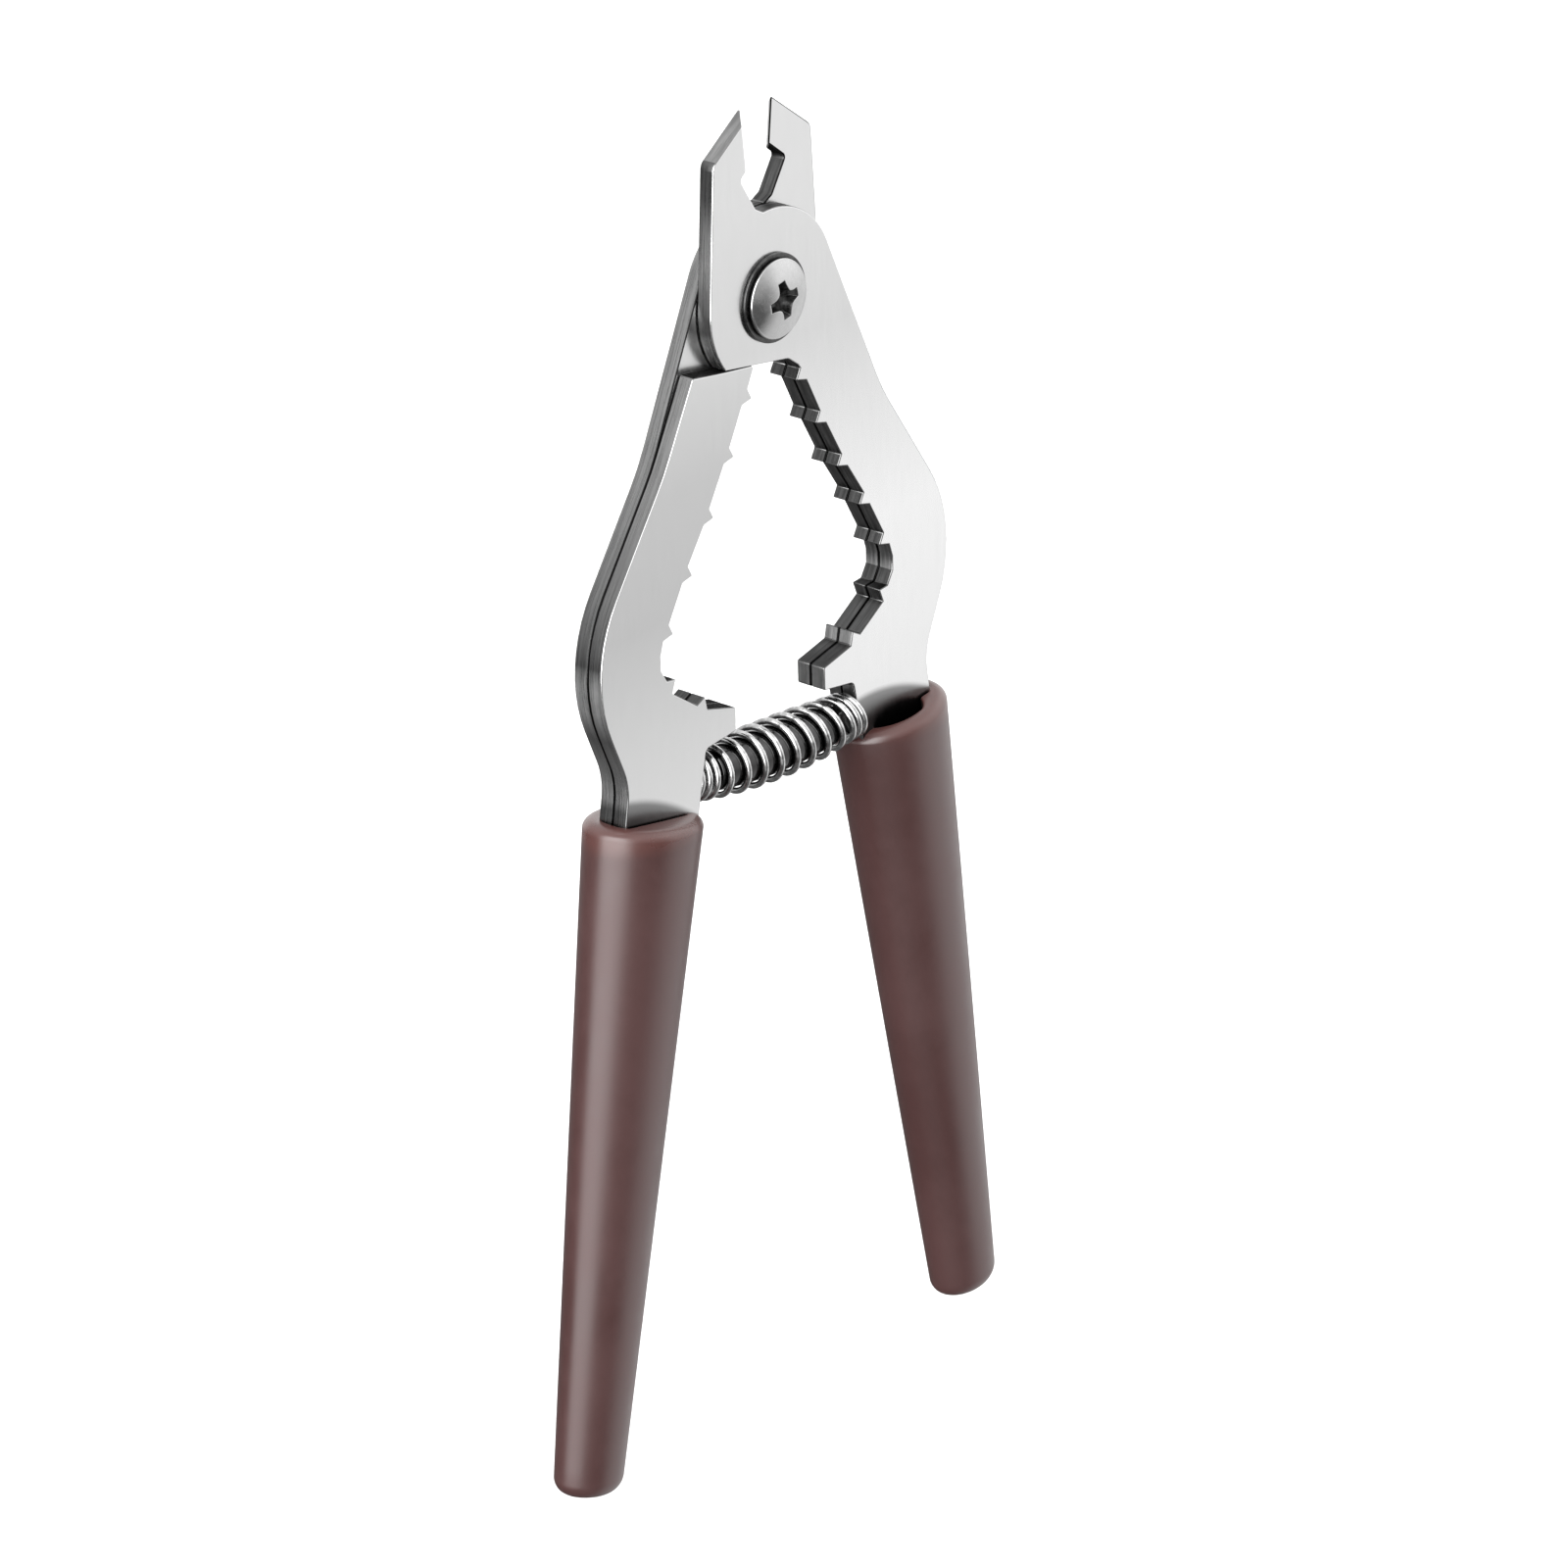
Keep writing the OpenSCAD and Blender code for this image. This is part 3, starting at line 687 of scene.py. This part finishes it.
smallCorner = {"width": 0.1 * mm, "rounds": 3, "sharper": 25, "slot": -1}
fastenerSettings = {
    # the washers take the near-black painted shade finish
    "headWasher": {"node": "head_washer", "body": "right_arm", "finish": "washerShadeSteel"},
    "rearWasher": {"node": "rear_washer", "body": "right_arm", "finish": "washerShadeSteel"},
    "lockNut": {"node": "lock_nut", "body": "right_arm", "finish": "nutSteel"},
}
for name, s in fastenerSettings.items():
    piece = brokenCopy(name, s, [steel[s["finish"]]], smallCorner)

def makeNylon():
    material, n, shader, place = newMaterial("nylonRing")
    cloud = n.add("ShaderNodeTexNoise", {"Vector": place, "Scale": 900.0, "Detail": 3.0}).outputs[0]
    n.put(shader.inputs["Base Color"], n.mix(cloud, (0.62, 0.66, 0.72, 1), (0.78, 0.81, 0.85, 1)))
    n.put(shader.inputs["Roughness"], n.ramp(cloud, 0.3, 0.7, 0.32, 0.45))
    n.put(shader.inputs["Normal"], n.add("ShaderNodeBump", {"Height": cloud, "Distance": 0.00003,
                                                            "Strength": 0.3}).outputs[0])
    return material

ring = brokenCopy("lockNutRing", {"node": "lock_nut_ring", "body": "right_arm"}, [makeNylon()], smallCorner)
print("screw, washers and nut made")


# return spring

springSettings = {
    "half": 14.82, "wire": 0.85, "turns": 13.5, "closedPitch": 1.1, "openShare": 0.62, "rise": 0.16,
    "endRadius": 2.6, "midRadius": 3.65, "barrelPower": 2.2,
    "depth": 60.3, "bow": 0.6, "lean": 1.15, "endLean": 0.2,
    "cutEnd": 0.8, "stepsPerTurn": 40, "sides": 14,
    # the dark sleeve that paints the shade inside the coils: its half length, gap and wall
    "shadeSleeveHalf": 10.4, "shadeSleeveGap": 0.1, "shadeSleeveWall": 0.12,
}

# Nothing below 0, t cubed less half of t to the fourth up to 1, and a straight line after it.
def eased(t):
    t = np.clip(t, 0, None)
    return np.where(t < 1, t ** 3 - t ** 4 / 2, t - 0.5)

# How far the pitch has opened the coil at this share of its turns: one eased ramp less a later one.
def openedTo(share, s):
    first, last = 0.5 - s["openShare"] / 2 - s["rise"] / 2, 0.5 + s["openShare"] / 2 - s["rise"] / 2
    return s["rise"] * (eased((share - first) / s["rise"]) - eased((share - last) / s["rise"]))

# A barrel: the middle radius falls to the end radius with a power of the distance from the middle.
def coilRadius(x, s):
    return s["endRadius"] + (s["midRadius"] - s["endRadius"]) * (1 - np.abs(x / s["half"]) ** s["barrelPower"])

# The axis leans from the left arm's tab to the right arm's and bows a little down in the middle.
def coilAxis(x, s):
    k = x / s["half"]
    return np.stack([x, -s["lean"] * k, pivotHeight / mm - s["depth"] + s["bow"] * k * k], -1)

# A round wire carried along a barrel coil whose pitch opens from the closed ends to the middle.
def springPoints(s):
    share = np.linspace(0, 1, int(s["turns"] * s["stepsPerTurn"]) + 1)
    free = 2 * s["half"] - s["wire"] - s["closedPitch"] * s["turns"]
    x = (-s["half"] + s["wire"] / 2 + s["closedPitch"] * s["turns"] * share
         + free * openedTo(share, s) / openedTo(np.array(1.0), s))
    a = 2 * np.pi * s["turns"] * share + np.pi / 2
    r = coilRadius(x, s)
    flat = -s["endLean"] * x / s["half"] * r * np.sin(a)      # lays the end turns against the leaning arms
    path = coilAxis(x, s) + np.stack([flat, r * np.cos(a), r * np.sin(a)], -1)
    tangent = np.gradient(path, axis=0)
    tangent /= np.linalg.norm(tangent, axis=1, keepdims=True)
    side = np.cross(tangent, np.cross([1.0, 0, 0], tangent))
    side /= np.linalg.norm(side, axis=1, keepdims=True)
    other = np.cross(tangent, side)
    b = np.linspace(0, 2 * np.pi, s["sides"], endpoint=False)
    thick = np.full(len(share), s["wire"] / 2)
    thick[[0, -1]] *= s["cutEnd"]                  # the cut ends are eased
    offset = np.cos(b)[None, :, None] * side[:, None] + np.sin(b)[None, :, None] * other[:, None]
    return (path[:, None] + thick[:, None, None] * offset) * mm

wireSettings = {"tone": (0.42, 0.62), "rough": (0.14, 0.24), "drawn": 1400.0}

def makeWire(s):
    material, n, shader, place = newMaterial("springWire")
    spots = n.add("ShaderNodeTexNoise", {"Vector": place, "Scale": s["drawn"], "Detail": 3.0}).outputs[0]
    value = n.ramp(spots, 0.35, 0.65)
    n.put(shader.inputs["Base Color"], n.mix(value, grey(s["tone"][0]), grey(s["tone"][1])))
    n.put(shader.inputs["Roughness"], n.ramp(value, 0, 1, *s["rough"]))
    n.put(shader.inputs["Normal"], n.add("ShaderNodeBump", {"Height": spots, "Distance": 0.000006,
                                                            "Strength": 0.2}).outputs[0])
    shader.inputs["Metallic"].default_value = 1.0
    return material

# A thin dark sleeve just inside the coils, a dark sheet painting the shade inside the spring, open at both
# ends: out along its outside, back along its inside.
def shadeSleevePoints(s):
    x = np.linspace(-s["shadeSleeveHalf"], s["shadeSleeveHalf"], 60)
    a = np.linspace(0, 2 * np.pi, 64, endpoint=False)
    outer = coilRadius(x, s) - s["wire"] / 2 - s["shadeSleeveGap"]
    both = np.concatenate([x, x[::-1], x[:1]])
    radius = np.concatenate([outer, outer[::-1] - s["shadeSleeveWall"], outer[:1]])
    about = np.stack([0 * a, np.cos(a), np.sin(a)], -1)
    return (coilAxis(both, s)[:, None] + radius[:, None, None] * about[None]) * mm

# A closed piece whose last ring is the first one again, so that they are joined and not capped.
def tubeMesh(name, points, materials):
    points = points[:-1]
    rings, sides = points.shape[:2]
    faces = np.concatenate([gridFaces(rings, sides), gridFaces(2, sides)])
    last = faces[-sides:]
    faces[-sides:] = np.where(last < sides, last + (rings - 1) * sides, last - sides)
    return pieceFrom(name, points, faces.tolist(), materials)

# Painted shade: a near-black glossy steel for the sleeve that darkens the inside of the spring.
def makeSleeveShadeSteel():
    material, n, shader, place = newMaterial("sleeveShadeSteel")
    cloud = n.add("ShaderNodeTexNoise", {"Vector": place, "Scale": 700.0, "Detail": 3.0}).outputs[0]
    n.put(shader.inputs["Base Color"], n.mix(cloud, grey(0.045), grey(0.08)))
    n.put(shader.inputs["Roughness"], n.ramp(cloud, 0.3, 0.7, 0.08, 0.14))
    shader.inputs["Metallic"].default_value = 1.0
    return material

spring = ringMesh("returnSpring", springPoints(springSettings), [makeWire(wireSettings)])
# the dark sleeve stands in for shade inside the coils
shadeSleeve = tubeMesh("springShadeSleeve", shadeSleevePoints(springSettings), [makeSleeveShadeSteel()])
for piece in (spring, shadeSleeve):
    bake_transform(piece)
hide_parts("return_spring")
print("spring made")
